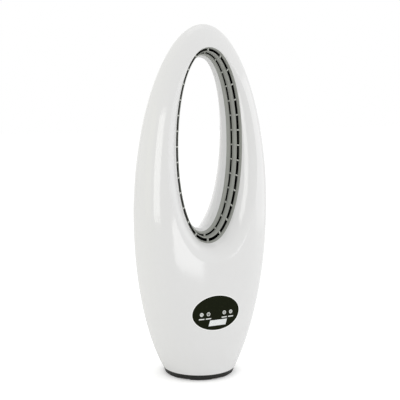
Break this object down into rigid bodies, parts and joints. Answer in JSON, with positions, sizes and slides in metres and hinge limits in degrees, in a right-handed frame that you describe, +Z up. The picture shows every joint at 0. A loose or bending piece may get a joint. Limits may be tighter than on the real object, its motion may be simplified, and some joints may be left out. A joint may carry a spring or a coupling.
{
  "type": "bladeless fan",
  "caption": "Egg-shaped free-standing bladeless fan: a tall oval air outlet loop on a tower with a hidden blower and touch panel, turning on a low round base.",
  "frame": {"origin": "centre of the circle of feet, on the floor", "axes": "+Z up along the swing axis, -Y out of the front of the fan"},
  "size_m": [0.2364, 0.1354, 0.6],
  "materials": {
    "white_gloss": "glossy white moulded plastic",
    "grey_band": "satin mid-grey moulded plastic",
    "black_gloss": "near-black glossy panel",
    "black_matte": "dark satin plastic",
    "rubber": "matt black rubber",
    "steel": "zinc-plated steel",
    "screw_steel": "zinc-plated screws",
    "badge_silver": "satin silver plate",
    "acetal": "natural low-friction plastic",
    "grey_plastic": "grey moulded plastic",
    "board_green": "circuit board laminate",
    "components": "capacitors and transformer",
    "filter": "open-cell foam",
    "copper": "enamelled copper and steel laminations",
    "led": "clear lamp packages"
  },
  "bodies": {
    "base": {"base_plate": "black_matte", "rubber_feet": "rubber", "ballast_plate": "steel", "base_cover": "black_matte", "base_screws": "screw_steel", "cord_gland": "rubber", "swivel_post": "steel", "post_screws": "screw_steel", "fixed_swing_gear": "acetal", "thrust_ring": "acetal", "post_washer": "acetal", "retaining_clip": "steel"},
    "tower": {"front_shell": "white_gloss", "rear_shell": "white_gloss", "shell_screws": "screw_steel", "turntable": "grey_plastic", "turntable_screws": "screw_steel", "swing_motor": "steel", "swing_motor_screws": "screw_steel", "power_board": "board_green", "power_components": "components", "power_board_screws": "screw_steel", "outlet_ring_front": "grey_band", "outlet_ring_rear": "grey_band", "loop_duct": "black_matte", "bulkhead_plate": "black_matte", "duct_gasket": "rubber", "duct_funnel": "black_matte", "blower_screws": "screw_steel", "blower_housing": "grey_plastic", "guide_vanes": "grey_plastic", "motor_can": "steel", "motor_windings": "copper", "motor_bearings": "steel", "motor_dampers": "rubber", "motor_cover": "grey_plastic", "intake_grille": "white_gloss", "intake_filter": "filter", "touch_panel": "black_gloss", "panel_tray": "black_matte", "control_board": "board_green", "control_board_screws": "screw_steel", "touch_pads": "copper", "indicator_leds": "led", "control_chips": "components", "remote_receiver": "components", "blank_badge": "badge_silver"},
    "blower_rotor": {"impeller": "black_matte", "motor_shaft": "steel", "motor_rotor": "steel", "impeller_nut": "steel"},
    "swing_drive": {"swing_pinion": "acetal", "swing_motor_shaft": "steel"}
  },
  "joints": [
    {"name": "tower_swing", "type": "hinge", "parent": "base", "child": "tower", "pos_m": [0, 0, 0.0113], "axis": [0, 0, 1], "range_deg": [-40, 40]},
    {"name": "impeller_spin", "type": "hinge", "parent": "tower", "child": "blower_rotor", "pos_m": [0, 0, 0.1125], "axis": [0, 0, 1], "continuous": true},
    {"name": "pinion_turn", "type": "hinge", "parent": "tower", "child": "swing_drive", "pos_m": [0, 0.02495, 0.012], "axis": [0, 0, 1], "range_deg": [-170, 170]}
  ],
  "couplings": [
    {"joint": "pinion_turn", "follows": "tower_swing", "ratio": 4.1667}
  ]
}
